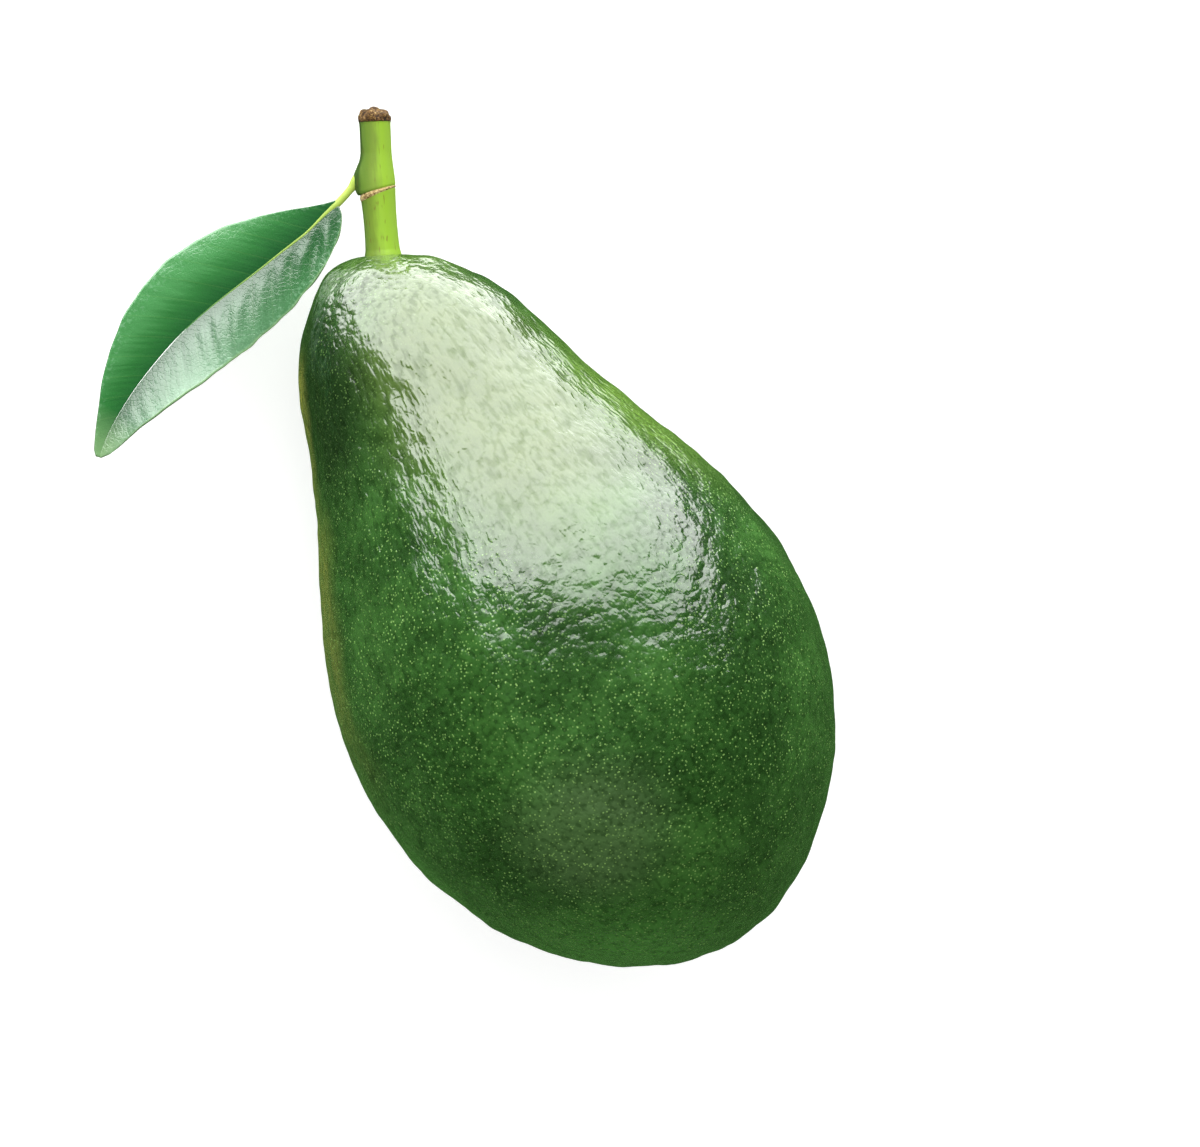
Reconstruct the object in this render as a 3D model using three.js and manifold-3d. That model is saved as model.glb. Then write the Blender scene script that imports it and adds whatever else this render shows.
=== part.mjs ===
// A green avocado as it is picked: a pear-shaped fruit on a short jointed stalk with one leaf.
// It lies on its side on a small flat spot, with its neck a little lower than its belly.
//
// Lengths are in millimetres and +Z is up. The origin is the middle of the flat spot. The whole
// fruit is shaped in a frame of its own, with the origin in the middle of the belly, +Y along the
// fruit's axis towards the neck and +Z towards its upper side. One tilted group then lays it down.

import * as THREE from "three";
import { mergeVertices } from "three/addons/utils/BufferGeometryUtils.js";
import Module from "manifold-3d";

const wasm = await Module();
wasm.setup();

const degrees = THREE.MathUtils.degToRad;

// The fruit: its outline from the neck's tip to the blossom end, turned round its axis.
const FRUIT_LENGTH = 120;
const BELLY_RADIUS = 37.1;
const BELLY_ALONG = 74.4; // from the neck's tip to the widest place
const NECK_RADIUS = 20.2; // where the round end of the neck runs into its flank
const NECK_ALONG = 21.7;
const NECK_FLARE = degrees(16.5); // how fast the flank widens there
const NECK_SLANT = 0.24; // the neck's tip slopes down to the right
const SLANT_REACH = 3;
const NECK_SWAY = { by: 0.45, middle: 21, width: 10 }; // the axis swings a little from side to side
const BELLY_SWAY = { by: -0.17, middle: 60, width: 14 };
const END_SWAY = { by: 0.7, start: 110 };
const SCAR = { x: 0.8, z: 0.6, radius: 2.6, depth: 0.52 }; // where the flower fell off

// The skin: low lumps, drawn out a little along the fruit.
const SKIN_DETAIL = 20;
const LUMP_SPACING = 7.5;
const LUMP_HEIGHT = 0.1;
const LUMP_STRETCH = 1.6;
const LUMP_WAVES = 14;

// How it lies: the neck is this much lower, and the floor takes off a shallow cap.
const NECK_DROP = degrees(17.5);
const FLAT_DEPTH = 0.38;
const FLAT_CALM = 13; // the lumps fade out this near to the flat spot
const SEAT_CALM = { start: 4, end: 9 }; // and towards the stalk's seat

// The stalk: a lower piece on the fruit, a joint, and an upper piece with a dry end.
const GAP = 0.3; // between two pieces that touch
const JOINT_GAP = 0.42; // the two stalk pieces lean apart a little
const SEAT = new THREE.Vector3(3.87, 72.2, 0); // the middle of the seat's floor in the neck
const SEAT_RADIUS = 3.35;
const STALK_LEAN = degrees(-23.8); // in the plane of the photograph
const STALK_LIFT = degrees(5); // towards the fruit's upper side
const LOWER_LENGTH = 10.2;
const LOWER_RADIUS = 2.54;
const UPPER_LENGTH = 12.9;
const UPPER_RADIUS = 2.38;
const UPPER_LEAN = degrees(-2.2);
const JOINT_RADIUS = 2.72;
const JOINT_SLOPE = 0.22; // the joint's ring is a slanted one
const STALK_SIDES = 28;

// The leaf: its base lies beside the joint, and its blade hangs out to the side.
const LEAF_BASE = new THREE.Vector3(1.69, 82.95, 0.6);
const LEAF_TURN = degrees(-165.7);
const LEAF_LENGTH = 53.0;
const LEAF_BOW = 4.47; // how far the midrib bows away from the fruit
const TIP_HOOK = 4.14; // and how far its tip swings back
const MIDRIB_SAG = 0.6;
const TIP_RISE = 1.5;
const LEAF_FOLD = degrees(26); // each half rises from the midrib
const FOLD_AT_BASE = 0.72;
const FOLD_TO_TIP = 0.45;
const BLADE_THICKNESS = 0.62;
const NEAR_HALF = { width: 9.26, rise: 0.58, fall: 0.81 }; // the half beside the fruit
const FAR_HALF = { width: 9.37, rise: 1.33, fall: 1.39 };
const VEIN_SPACING = 5.2;
const VEIN_SWEEP = 0.75; // how far a side vein runs forward for each millimetre out
const PUCKER = 0.17; // the blade swells between its side veins
const EDGE_WAVE = { height: 0.35, turns: 1.75 };
const RIB_DEPTH = 0.45; // the midrib stands out beneath
const RIB_SHARPNESS = 9;
const PETIOLE_LENGTH = 2.95;
const PETIOLE_RADIUS = 0.58;
const BLADE_STEPS = 44;
const PETIOLE_STEPS = 6;
const CROSSWISE = 14;

const smooth = THREE.MathUtils.smoothstep;
const GOLDEN_ANGLE = Math.PI * (3 - Math.sqrt(5));

// Materials.
const skinGreen = new THREE.MeshStandardMaterial({ color: 0x35612a, roughness: 0.34 });
const stalkGreen = new THREE.MeshStandardMaterial({ color: 0x93b648, roughness: 0.5 });
const leafGreen = new THREE.MeshStandardMaterial({ color: 0x3b8142, roughness: 0.42 });

// A closed geometry as a solid that can be joined and cut.
function solidOf(geometry) {
  const bare = geometry.clone();
  bare.deleteAttribute("normal");
  bare.deleteAttribute("uv");
  const merged = mergeVertices(bare, 1e-4);
  return new wasm.Manifold(
    new wasm.Mesh({
      numProp: 3,
      vertProperties: merged.attributes.position.array,
      triVerts: new Uint32Array(merged.index.array),
    }),
  );
}

function geometryOf(solid) {
  const mesh = solid.getMesh();
  const corners = new Float32Array(mesh.numVert * 3);
  for (let i = 0; i < mesh.numVert; i++) {
    const start = i * mesh.numProp;
    corners.set(mesh.vertProperties.subarray(start, start + 3), i * 3);
  }
  const geometry = new THREE.BufferGeometry();
  geometry.setAttribute("position", new THREE.BufferAttribute(corners, 3));
  geometry.setIndex(new THREE.BufferAttribute(mesh.triVerts, 1));
  geometry.computeVertexNormals();
  return geometry;
}

// Moves every vertex of a geometry to where place puts it.
function reshape(geometry, place) {
  const at = geometry.attributes.position;
  const p = new THREE.Vector3();
  for (let i = 0; i < at.count; i++) {
    place(p.fromBufferAttribute(at, i));
    at.setXYZ(i, p.x, p.y, p.z);
  }
  return geometry;
}

function named(name, geometry, material) {
  const mesh = new THREE.Mesh(geometry, material);
  mesh.name = name;
  return mesh;
}

// Half of the fruit's outline: x is the distance from the axis, y the distance from the neck's tip.
function fruitOutline() {
  const flankX = Math.sin(NECK_FLARE);
  const flankY = Math.cos(NECK_FLARE);
  const tipHandle = 5;
  const neckHandle = 17.2;
  const flankHandle = 19.8;
  const bellyHandle = 21;
  const lowerHandle = 26.2;
  const endHandle = 16.8;
  const outline = new THREE.Path();
  outline.moveTo(0, 0);
  outline.bezierCurveTo(
    tipHandle, 0,
    NECK_RADIUS - neckHandle * flankX, NECK_ALONG - neckHandle * flankY,
    NECK_RADIUS, NECK_ALONG,
  );
  outline.bezierCurveTo(
    NECK_RADIUS + flankHandle * flankX, NECK_ALONG + flankHandle * flankY,
    BELLY_RADIUS, BELLY_ALONG - bellyHandle,
    BELLY_RADIUS, BELLY_ALONG,
  );
  outline.bezierCurveTo(
    BELLY_RADIUS, BELLY_ALONG + lowerHandle,
    endHandle, FRUIT_LENGTH,
    0, FRUIT_LENGTH,
  );
  return outline;
}

// A bump of height 1 at a middle, about as wide as given.
function bell(x, middle, width) {
  return Math.exp(-(((x - middle) / width) ** 2));
}

// The fruit isn't quite round about its axis: it sways, and the neck's tip is slanted.
function uneven(p, along) {
  for (const sway of [NECK_SWAY, BELLY_SWAY]) p.x += sway.by * bell(along, sway.middle, sway.width);
  p.x += END_SWAY.by * smooth(along, END_SWAY.start, FRUIT_LENGTH);
  p.y -= NECK_SLANT * p.x * Math.exp(-along / SLANT_REACH);
}

// The height of the lumps: waves that run every which way, spread by the golden angle.
function lumps(p) {
  let sum = 0;
  for (let i = 0; i < LUMP_WAVES; i++) {
    const turn = i * GOLDEN_ANGLE;
    const across = 1 - (2 * i + 1) / LUMP_WAVES;
    const out = Math.sqrt(1 - across * across);
    const phase = Math.cos(turn) * out * p.x + Math.sin(turn) * out * p.z + (across * p.y) / LUMP_STRETCH;
    sum += Math.sin((2 * Math.PI * phase) / LUMP_SPACING + i * i);
  }
  return (LUMP_HEIGHT * sum) / Math.sqrt(LUMP_WAVES / 2);
}

// The fruit in its own frame, whole and round.
function roundFruit(lowest) {
  const outline = fruitOutline();
  const point = new THREE.Vector2();
  const ahead = new THREE.Vector2();
  return reshape(new THREE.IcosahedronGeometry(1, SKIN_DETAIL), (p) => {
    const share = Math.acos(THREE.MathUtils.clamp(p.y, -1, 1)) / Math.PI;
    const turn = Math.atan2(p.z, p.x);
    outline.getPointAt(share, point);
    outline.getTangentAt(share, ahead);
    p.set(point.x * Math.cos(turn), BELLY_ALONG - point.y, point.x * Math.sin(turn));
    uneven(p, point.y);
    const flatCalm = smooth(p.distanceTo(lowest), FLAT_CALM / 2, FLAT_CALM);
    const seatCalm = smooth(p.distanceTo(SEAT), SEAT_CALM.start, SEAT_CALM.end);
    const height = flatCalm * seatCalm * lumps(p);
    p.x += height * ahead.y * Math.cos(turn);
    p.y += height * ahead.x;
    p.z += height * ahead.y * Math.sin(turn);
  });
}

// The lowest place of the outline once the neck has dropped, in the fruit's frame.
function lowestPlace() {
  const outline = fruitOutline();
  const down = new THREE.Vector3(0, Math.sin(NECK_DROP), -Math.cos(NECK_DROP));
  const lowest = new THREE.Vector3();
  const tries = 2000;
  for (let i = 0; i <= tries; i++) {
    const at = outline.getPointAt(i / tries);
    const p = new THREE.Vector3(0, BELLY_ALONG - at.y, -at.x);
    if (p.dot(down) > lowest.dot(down)) lowest.copy(p);
  }
  return lowest;
}

// A round peg along the stalk's axis, for the seat that the stalk stands in.
function seatPeg() {
  const height = 12;
  const peg = new THREE.CylinderGeometry(SEAT_RADIUS, SEAT_RADIUS, height, STALK_SIDES);
  peg.translate(0, height / 2, 0);
  return peg.applyMatrix4(stalkPlace);
}

// A turned piece with its foot at y 0. rings gives [radius, height] from its foot to its top.
function turned(rings) {
  const points = [[0, rings[0][1]], ...rings, [0, rings.at(-1)[1]]];
  return new THREE.LatheGeometry(points.map(([x, y]) => new THREE.Vector2(x, y)), STALK_SIDES);
}

function lowerStalk() {
  const length = LOWER_LENGTH - GAP;
  const foot = 3.0;
  const geometry = turned([
    [foot - 0.25, 0],
    [foot, 0.35],
    [foot - 0.1, 1.1],
    [LOWER_RADIUS + 0.08, 2.4],
    [LOWER_RADIUS, 4.6],
    [LOWER_RADIUS + 0.03, 7],
    [JOINT_RADIUS - 0.06, length - 1],
    [JOINT_RADIUS, length - 0.4],
    [JOINT_RADIUS - 0.18, length],
  ]);
  return reshape(geometry, (p) => {
    fluted(p);
    p.y += JOINT_SLOPE * p.x * smooth(p.y, length / 2, length);
    p.y += GAP;
  });
}

// Faint ribs round a stalk.
function fluted(p) {
  const turn = Math.atan2(p.z, p.x);
  const share = 1 + 0.012 * Math.cos(5 * turn) + 0.008 * Math.cos(3 * turn + 1);
  p.x *= share;
  p.z *= share;
}

function upperStalk() {
  const geometry = turned([
    [JOINT_RADIUS - 0.16, 0],
    [JOINT_RADIUS + 0.04, 0.4],
    [JOINT_RADIUS - 0.02, 1.3],
    [UPPER_RADIUS + 0.16, 3.2],
    [UPPER_RADIUS, 5.6],
    [UPPER_RADIUS, 8.5],
    [UPPER_RADIUS + 0.02, UPPER_LENGTH - 2.8],
    [UPPER_RADIUS + 0.12, UPPER_LENGTH - 2.3],
    [UPPER_RADIUS + 0.08, UPPER_LENGTH - 1.7],
    [UPPER_RADIUS - 0.4, UPPER_LENGTH - 1.2],
    [UPPER_RADIUS - 1.1, UPPER_LENGTH - 0.8],
    [UPPER_RADIUS - 1.9, UPPER_LENGTH - 0.1],
  ]);
  return reshape(geometry, (p) => {
    const out = Math.hypot(p.x, p.z) / UPPER_RADIUS;
    const high = out * smooth(p.y, UPPER_LENGTH - 2.4, UPPER_LENGTH - 1.2);
    const low = out * (1 - smooth(p.y, 1, 5));
    fluted(p);
    const turn = Math.atan2(p.z, p.x);
    p.x -= 0.28 * low * Math.max(0, -Math.cos(turn)); // the stalk swells where the leaf stalk leaves it
    p.y += high * (0.16 * Math.sin(4 * turn) + 0.12 * Math.sin(7 * turn + 2)); // the dry end is torn
    p.y += JOINT_SLOPE * p.x * (1 - smooth(p.y, 0, UPPER_LENGTH / 2));
  });
}

// The leaf's own frame: x runs to the tip, y towards the fruit and z to the upper side.
const midrib = new THREE.CubicBezierCurve3(
  new THREE.Vector3(0, 0, 0),
  new THREE.Vector3(LEAF_LENGTH * 0.2, -0.372 * LEAF_BOW, -MIDRIB_SAG),
  new THREE.Vector3(LEAF_LENGTH * 0.732, -LEAF_BOW, -MIDRIB_SAG),
  new THREE.Vector3(LEAF_LENGTH, TIP_HOOK, TIP_RISE),
);

// The leaf stalk runs into the midrib without a kink.
const leafStalk = new THREE.QuadraticBezierCurve3(
  new THREE.Vector3(-PETIOLE_LENGTH, 0.02, 0.35),
  new THREE.Vector3(-1.9, 0.3, 0.11),
  new THREE.Vector3(0, 0, 0),
);

// Half the blade's width at a share of its length.
function halfWidth(half, share) {
  const widest = half.rise / (half.rise + half.fall);
  const up = (share / widest) ** half.rise;
  const down = ((1 - share) / (1 - widest)) ** half.fall;
  const round = Math.sqrt(Math.min(1, (1.004 - share) / 0.02)); // the tip is blunt
  return (PETIOLE_RADIUS + (half.width - PETIOLE_RADIUS) * up * down) * round;
}

// A point on the middle layer of the blade. side runs from -1 at the far edge to 1 at the near one.
function onBlade(share, side) {
  const half = side > 0 ? NEAR_HALF : FAR_HALF;
  const out = Math.abs(side) * halfWidth(half, share);
  const along = midrib.getTangentAt(share);
  const across = new THREE.Vector3(-along.y, along.x, 0).normalize();
  const flattening = ((1 - share) * out) / NEAR_HALF.width; // the base spreads out flat at its margins
  const fold = LEAF_FOLD * (FOLD_AT_BASE + FOLD_TO_TIP * share) * (1 - flattening);
  const vein = (share * LEAF_LENGTH - VEIN_SWEEP * out) / VEIN_SPACING;
  const swell = PUCKER * Math.cos(2 * Math.PI * vein) * smooth(out, 0.6, 3) * smooth(1 - share, 0.02, 0.2);
  const wave = Math.sin(2 * Math.PI * EDGE_WAVE.turns * share + (side > 0 ? 0 : 2));
  const edgeWave = EDGE_WAVE.height * Math.abs(side) ** 3 * wave;
  const p = midrib.getPointAt(share).addScaledVector(across, Math.sign(side) * out * Math.cos(fold));
  p.z += out * Math.sin(fold) + smooth(share, 0, 0.1) * (swell + edgeWave);
  return p;
}

// One side of the leaf at station i. The first stations are the round leaf stalk, the rest the blade.
function onLeaf(i, j, face) {
  const side = (2 * j) / CROSSWISE - 1;
  const round = Math.sqrt(1 - 0.98 * side ** 2);
  if (i < PETIOLE_STEPS) {
    const share = i / PETIOLE_STEPS;
    const along = leafStalk.getTangent(share);
    const across = new THREE.Vector3(-along.y, along.x, 0).normalize();
    const up = new THREE.Vector3().crossVectors(along, across);
    const radius = PETIOLE_RADIUS * (1 + 0.5 * (1 - smooth(share, 0, 0.5)));
    return leafStalk
      .getPoint(share)
      .addScaledVector(across, side * radius)
      .addScaledVector(up, face * round * radius);
  }
  const share = (i - PETIOLE_STEPS) / BLADE_STEPS;
  const flat = smooth(share, 0, 0.08);
  const p = onBlade(share, side);
  const rib = face < 0 ? RIB_DEPTH * (1 - share) * Math.exp(-((side * RIB_SHARPNESS) ** 2)) : 0;
  p.z += face * ((1 - flat) * PETIOLE_RADIUS * round + (flat * BLADE_THICKNESS) / 2) - flat * rib;
  return p;
}

// Both faces are split into triangles alike, and a rim joins them.
function leafGeometry() {
  const steps = PETIOLE_STEPS + BLADE_STEPS;
  const row = CROSSWISE + 1;
  const layer = row * (steps + 1);
  const corners = [];
  const faces = [];
  const quad = (a, b, c, d) => faces.push(a, b, c, a, c, d);
  for (const face of [1, -1]) {
    for (let i = 0; i <= steps; i++) {
      for (let j = 0; j <= CROSSWISE; j++) corners.push(...onLeaf(i, j, face));
    }
  }
  for (let i = 0; i < steps; i++) {
    for (let j = 0; j < CROSSWISE; j++) {
      const a = i * row + j;
      const [b, c, d] = [a + row, a + row + 1, a + 1];
      quad(a, b, c, d);
      faces.push(layer + a, layer + c, layer + b, layer + a, layer + d, layer + c);
    }
    const far = i * row;
    const near = far + CROSSWISE;
    quad(far, layer + far, layer + far + row, far + row);
    quad(near, near + row, layer + near + row, layer + near);
  }
  for (let j = 0; j < CROSSWISE; j++) {
    const tip = steps * row + j;
    quad(j, j + 1, layer + j + 1, layer + j);
    quad(tip, layer + tip, layer + tip + 1, tip + 1);
  }
  const geometry = new THREE.BufferGeometry();
  geometry.setAttribute("position", new THREE.Float32BufferAttribute(corners, 3));
  geometry.setIndex(faces);
  geometry.computeVertexNormals();
  return geometry;
}

// The joint pieces' places in the fruit's frame.
const stalk = new THREE.Group();
stalk.position.copy(SEAT);
stalk.rotation.set(STALK_LIFT, 0, STALK_LEAN);
stalk.updateMatrix();
const stalkPlace = stalk.matrix.clone();

const upper = new THREE.Group();
upper.position.set(0, LOWER_LENGTH + JOINT_GAP, 0);
upper.rotation.z = UPPER_LEAN;
upper.updateMatrix();

const twig = new THREE.Group();
twig.position.copy(LEAF_BASE);
twig.rotation.z = LEAF_TURN;
twig.updateMatrix();

const lowest = lowestPlace();

// The fruit, with the seat and the flower's scar cut in, and the flat spot cut off.
function fruit() {
  const scar = new THREE.SphereGeometry(SCAR.radius, 20, 10).scale(1, SCAR.depth / SCAR.radius, 1);
  scar.translate(SCAR.x, BELLY_ALONG - FRUIT_LENGTH, SCAR.z);
  const floor = new THREE.BoxGeometry(60, 60, 10).translate(0, 0, -5);
  const inward = new THREE.Vector3(0, -Math.sin(NECK_DROP), Math.cos(NECK_DROP)).multiplyScalar(FLAT_DEPTH);
  floor.applyMatrix4(new THREE.Matrix4().makeRotationX(NECK_DROP));
  floor.translate(lowest.x + inward.x, lowest.y + inward.y, lowest.z + inward.z);
  return geometryOf(
    solidOf(roundFruit(lowest)).subtract(solidOf(seatPeg())).subtract(solidOf(scar)).subtract(solidOf(floor)),
  );
}

upper.add(named("peduncle", upperStalk(), stalkGreen));
stalk.add(named("pedicel", lowerStalk(), stalkGreen), upper);
twig.add(named("leaf", leafGeometry(), leafGreen));

// Laid down: the neck drops, and the flat spot's middle comes to the origin.
const avocado = new THREE.Group();
avocado.add(named("fruit", fruit(), skinGreen), stalk, twig);
avocado.rotation.x = -NECK_DROP;
avocado.position.copy(lowest).applyEuler(avocado.rotation).negate();
avocado.position.z -= FLAT_DEPTH;

const part = new THREE.Group();
part.add(avocado);

export default part;
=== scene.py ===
# %% [markdown]
# # A green avocado, as it is picked
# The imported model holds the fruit, its two stalk pieces and its leaf at their real size. This
# lesson dresses them: each piece is modelled again with a finer surface, in the same place, and
# gets a material that is named for what the real surface is.

# %% Load the frame
import math

import bmesh
import bpy
import numpy as np
from mathutils import Matrix, Vector


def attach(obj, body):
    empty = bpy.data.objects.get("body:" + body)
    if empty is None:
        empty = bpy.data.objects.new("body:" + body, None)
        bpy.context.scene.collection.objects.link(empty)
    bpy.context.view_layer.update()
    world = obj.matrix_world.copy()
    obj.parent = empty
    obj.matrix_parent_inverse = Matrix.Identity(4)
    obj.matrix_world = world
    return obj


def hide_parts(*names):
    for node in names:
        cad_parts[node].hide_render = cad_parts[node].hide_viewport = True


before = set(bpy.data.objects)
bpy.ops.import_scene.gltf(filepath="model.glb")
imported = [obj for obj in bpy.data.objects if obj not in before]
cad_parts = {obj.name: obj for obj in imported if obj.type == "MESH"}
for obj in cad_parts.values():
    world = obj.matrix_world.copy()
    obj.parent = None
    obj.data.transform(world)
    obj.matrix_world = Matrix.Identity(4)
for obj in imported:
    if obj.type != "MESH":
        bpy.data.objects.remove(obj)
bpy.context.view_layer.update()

print("nodes in the frame:", sorted(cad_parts))

# %% [markdown]
# ## The fruit's own frame
# The avocado is easiest to shape with its axis along Y: the origin is in the middle of the belly,
# +Y runs to the neck and +Z to the side that looks up. Lengths are in millimetres there. One
# matrix then lays the fruit down: the neck drops, and the middle of its flat spot comes to the
# origin of the frame.

# %% Driving dimensions of the fruit
MM = 0.001
FRUIT_LENGTH = 120.0
BELLY_RADIUS = 37.1
BELLY_ALONG = 74.4
NECK_RADIUS = 20.2
NECK_ALONG = 21.7
NECK_FLARE = math.radians(16.5)
NECK_SLANT = 0.24
NECK_SWAY = 0.45
BELLY_SWAY = -0.17
END_SWAY = 0.7
NECK_DROP = math.radians(17.5)
FLAT_DEPTH = 0.38
# How far the handles of the outline's three curves reach.
TIP_REACH, NECK_REACH_UP = 5, 17.2
NECK_REACH_DOWN, BELLY_REACH_UP = 19.8, 21
BELLY_REACH_DOWN, END_REACH = 26.2, 16.8


def bezier(a, b, c, d, count):
    """Points of one cubic curve, one row each."""
    t = np.linspace(0, 1, count)[:, None]
    a, b, c, d = (np.array(p, float) for p in (a, b, c, d))
    return (1 - t) ** 3 * a + 3 * (1 - t) ** 2 * t * b + 3 * (1 - t) * t**2 * c + t**3 * d


def fruit_outline(count):
    """Half of the fruit's outline, evenly spaced: (distance from the axis, distance from the tip)."""
    flank = np.array((math.sin(NECK_FLARE), math.cos(NECK_FLARE)))
    neck = np.array((NECK_RADIUS, NECK_ALONG))
    belly = np.array((BELLY_RADIUS, BELLY_ALONG))
    end = np.array((0, FRUIT_LENGTH))
    fine = np.vstack([
        bezier((0, 0), (TIP_REACH, 0), neck - NECK_REACH_UP * flank, neck, 400),
        bezier(neck, neck + NECK_REACH_DOWN * flank, belly - (0, BELLY_REACH_UP), belly, 400)[1:],
        bezier(belly, belly + (0, BELLY_REACH_DOWN), end + (END_REACH, 0), end, 400)[1:],
    ])
    along = np.concatenate([[0], np.cumsum(np.linalg.norm(np.diff(fine, axis=0), axis=1))])
    even = np.linspace(0, along[-1], count)
    return np.column_stack([np.interp(even, along, fine[:, 0]), np.interp(even, along, fine[:, 1])])


# %% Lay the fruit down
down = Vector((0, math.sin(NECK_DROP), -math.cos(NECK_DROP)))
belly_line = [Vector((0, BELLY_ALONG - along, -out)) for out, along in fruit_outline(2000)]
lowest = max(belly_line, key=lambda p: p.dot(down))
tilt = Matrix.Rotation(-NECK_DROP, 4, "X")
lay = Matrix.Scale(MM, 4) @ Matrix.Translation(-(tilt @ lowest) - Vector((0, 0, FLAT_DEPTH))) @ tilt
print("lowest place, in the fruit's frame:", [round(v, 2) for v in lowest])

# %% [markdown]
# ## Helpers for meshes
# A piece starts as a bmesh in millimetres, because one operator makes a turned or a gridded form.
# Its points are then shaped as arrays, which is quick for a hundred thousand of them. `placed`
# moves them to their place in the frame, in metres, so every object sits at the origin, unturned
# and unscaled, and `new_piece` shows the mesh as a piece of the object.

# %% Mesh helpers
def smooth(x, low, high):
    """0 below low, 1 above high, and an S-curve between."""
    t = np.clip((x - low) / (high - low), 0, 1)
    return t * t * (3 - 2 * t)


def turned(profile, steps):
    """Spins a profile of (radius, height) round the Y axis and closes its poles."""
    bm = bmesh.new()
    points = [bm.verts.new((radius, height, 0)) for radius, height in profile]
    edges = [bm.edges.new(pair) for pair in zip(points, points[1:])]
    bmesh.ops.spin(
        bm, geom=points + edges, cent=(0, 0, 0), axis=(0, 1, 0), dvec=(0, 0, 0),
        angle=2 * math.pi, steps=steps, use_merge=True, use_duplicate=False,
    )
    bmesh.ops.remove_doubles(bm, verts=bm.verts, dist=1e-5)
    bmesh.ops.recalc_face_normals(bm, faces=bm.faces)
    return bm


def coordinates(mesh):
    flat = np.empty(len(mesh.vertices) * 3)
    mesh.vertices.foreach_get("co", flat)
    return flat.reshape(-1, 3)


def set_coordinates(mesh, points):
    mesh.vertices.foreach_set("co", points.ravel())
    mesh.update()


def placed(points, matrix):
    """Points moved by a 4x4 matrix."""
    m = np.array(matrix)
    return points @ m[:3, :3].T + m[:3, 3]


def new_piece(name, mesh, material, replaced=None):
    """Shows a mesh as a smooth piece of the object."""
    piece = bpy.data.objects.new(name, mesh)
    bpy.context.scene.collection.objects.link(piece)
    mesh.polygons.foreach_set("use_smooth", [True] * len(mesh.polygons))
    mesh.materials.append(material)
    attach(piece, "root")
    if replaced:
        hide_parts(replaced)
    print(name, len(mesh.vertices), "vertices,", material.name)
    return piece


# %% [markdown]
# ## Helpers for materials
# Colours are written as the hex values that an eyedropper shows, and one function turns them to
# the linear values that the shader wants. One function adds a node with its settings and links.
# Patterns could be painted on a picture, but a picture stretches at the poles of a fruit. Here
# each is worked out from where a point lies in the fruit's own frame, so a noise with a scale of
# 1 / 3 has a speck about every 3 mm on any piece.

# %% Material helpers
SOFT = {"interpolation_type": "SMOOTHSTEP"}
COLOURS = {"data_type": "RGBA"}
UNDER, OVER, BLEND = 6, 7, 2  # a Mix node's sockets for two colours and their blend


def colour(hexed):
    """An sRGB hex colour as a linear RGBA value."""
    parts = [int(hexed[i : i + 2], 16) / 255 for i in (1, 3, 5)]
    return (*[p / 12.92 if p <= 0.04045 else ((p + 0.055) / 1.055) ** 2.4 for p in parts], 1)


def add(tree, kind, inputs=(), **settings):
    """Adds one node. inputs gives each socket a value, a socket, or a node whose first output feeds it."""
    made = tree.nodes.new("ShaderNode" + kind)
    for name, value in settings.items():
        setattr(made, name, value)
    for socket, value in dict(inputs).items():
        if isinstance(value, bpy.types.Node):
            value = value.outputs[0]
        if isinstance(value, bpy.types.NodeSocket):
            tree.links.new(value, made.inputs[socket])
        else:
            made.inputs[socket].default_value = value
    return made


def set_stops(ramp, stops):
    """Gives a colour ramp its stops of (place, hex colour), from its start to its end."""
    first, *between, last = stops
    for stop, (place, hexed) in zip(ramp.elements, (first, last)):
        stop.position, stop.color = place, colour(hexed)
    for place, hexed in between:
        ramp.elements.new(place).color = colour(hexed)


def new_material(name):
    """An empty node material and its tree."""
    material = bpy.data.materials.new(name)
    material.use_nodes = True
    material.node_tree.nodes.clear()
    return material, material.node_tree


def fruit_place(tree):
    """Where a point lies in the fruit's own frame, in millimetres."""
    here = add(tree, "TexCoord").outputs["Object"]
    back = tilt.inverted() @ Vector((0, 0, FLAT_DEPTH)) + lowest
    return add(
        tree, "Mapping",
        {"Vector": here, "Scale": (1 / MM,) * 3, "Rotation": (NECK_DROP, 0, 0), "Location": back},
    )


# %% [markdown]
# ## Fruit skin: waxed, pebbled green peel
# The peel of a green-skinned avocado is thick and leathery, with a natural wax that shines. Its
# ground colour runs from deep green on the belly to a yellower green on the neck, with an olive
# patch where another fruit lay against it. Light and shade are painted over it too: painted shade
# on the neck's left flank beside the leaf, a yellower green that is partly painted light on the
# right flank, painted rim light on the lower rims, and olive to yellow painted rim light along the
# left rim. One flat green would look like plastic, so two sizes of mottle pick the green, and soft
# patches, each placed in millimetres, tint it.

# %% Colours of the peel
DEEP_GREEN = "#1a3613"
MID_GREEN = "#284c1d"
FRESH_GREEN = "#3a652a"
NECK_GREEN = "#50622c"
FLANK_GREEN_AND_LIGHT = "#5a792d"
NECK_PAINTED_SHADE = "#162a10"
RIM_LIGHT_GREEN = "#4c8638"
OLIVE = "#586c48"
BROAD_MOTTLE = 18
FINE_MOTTLE = 2.6
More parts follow.
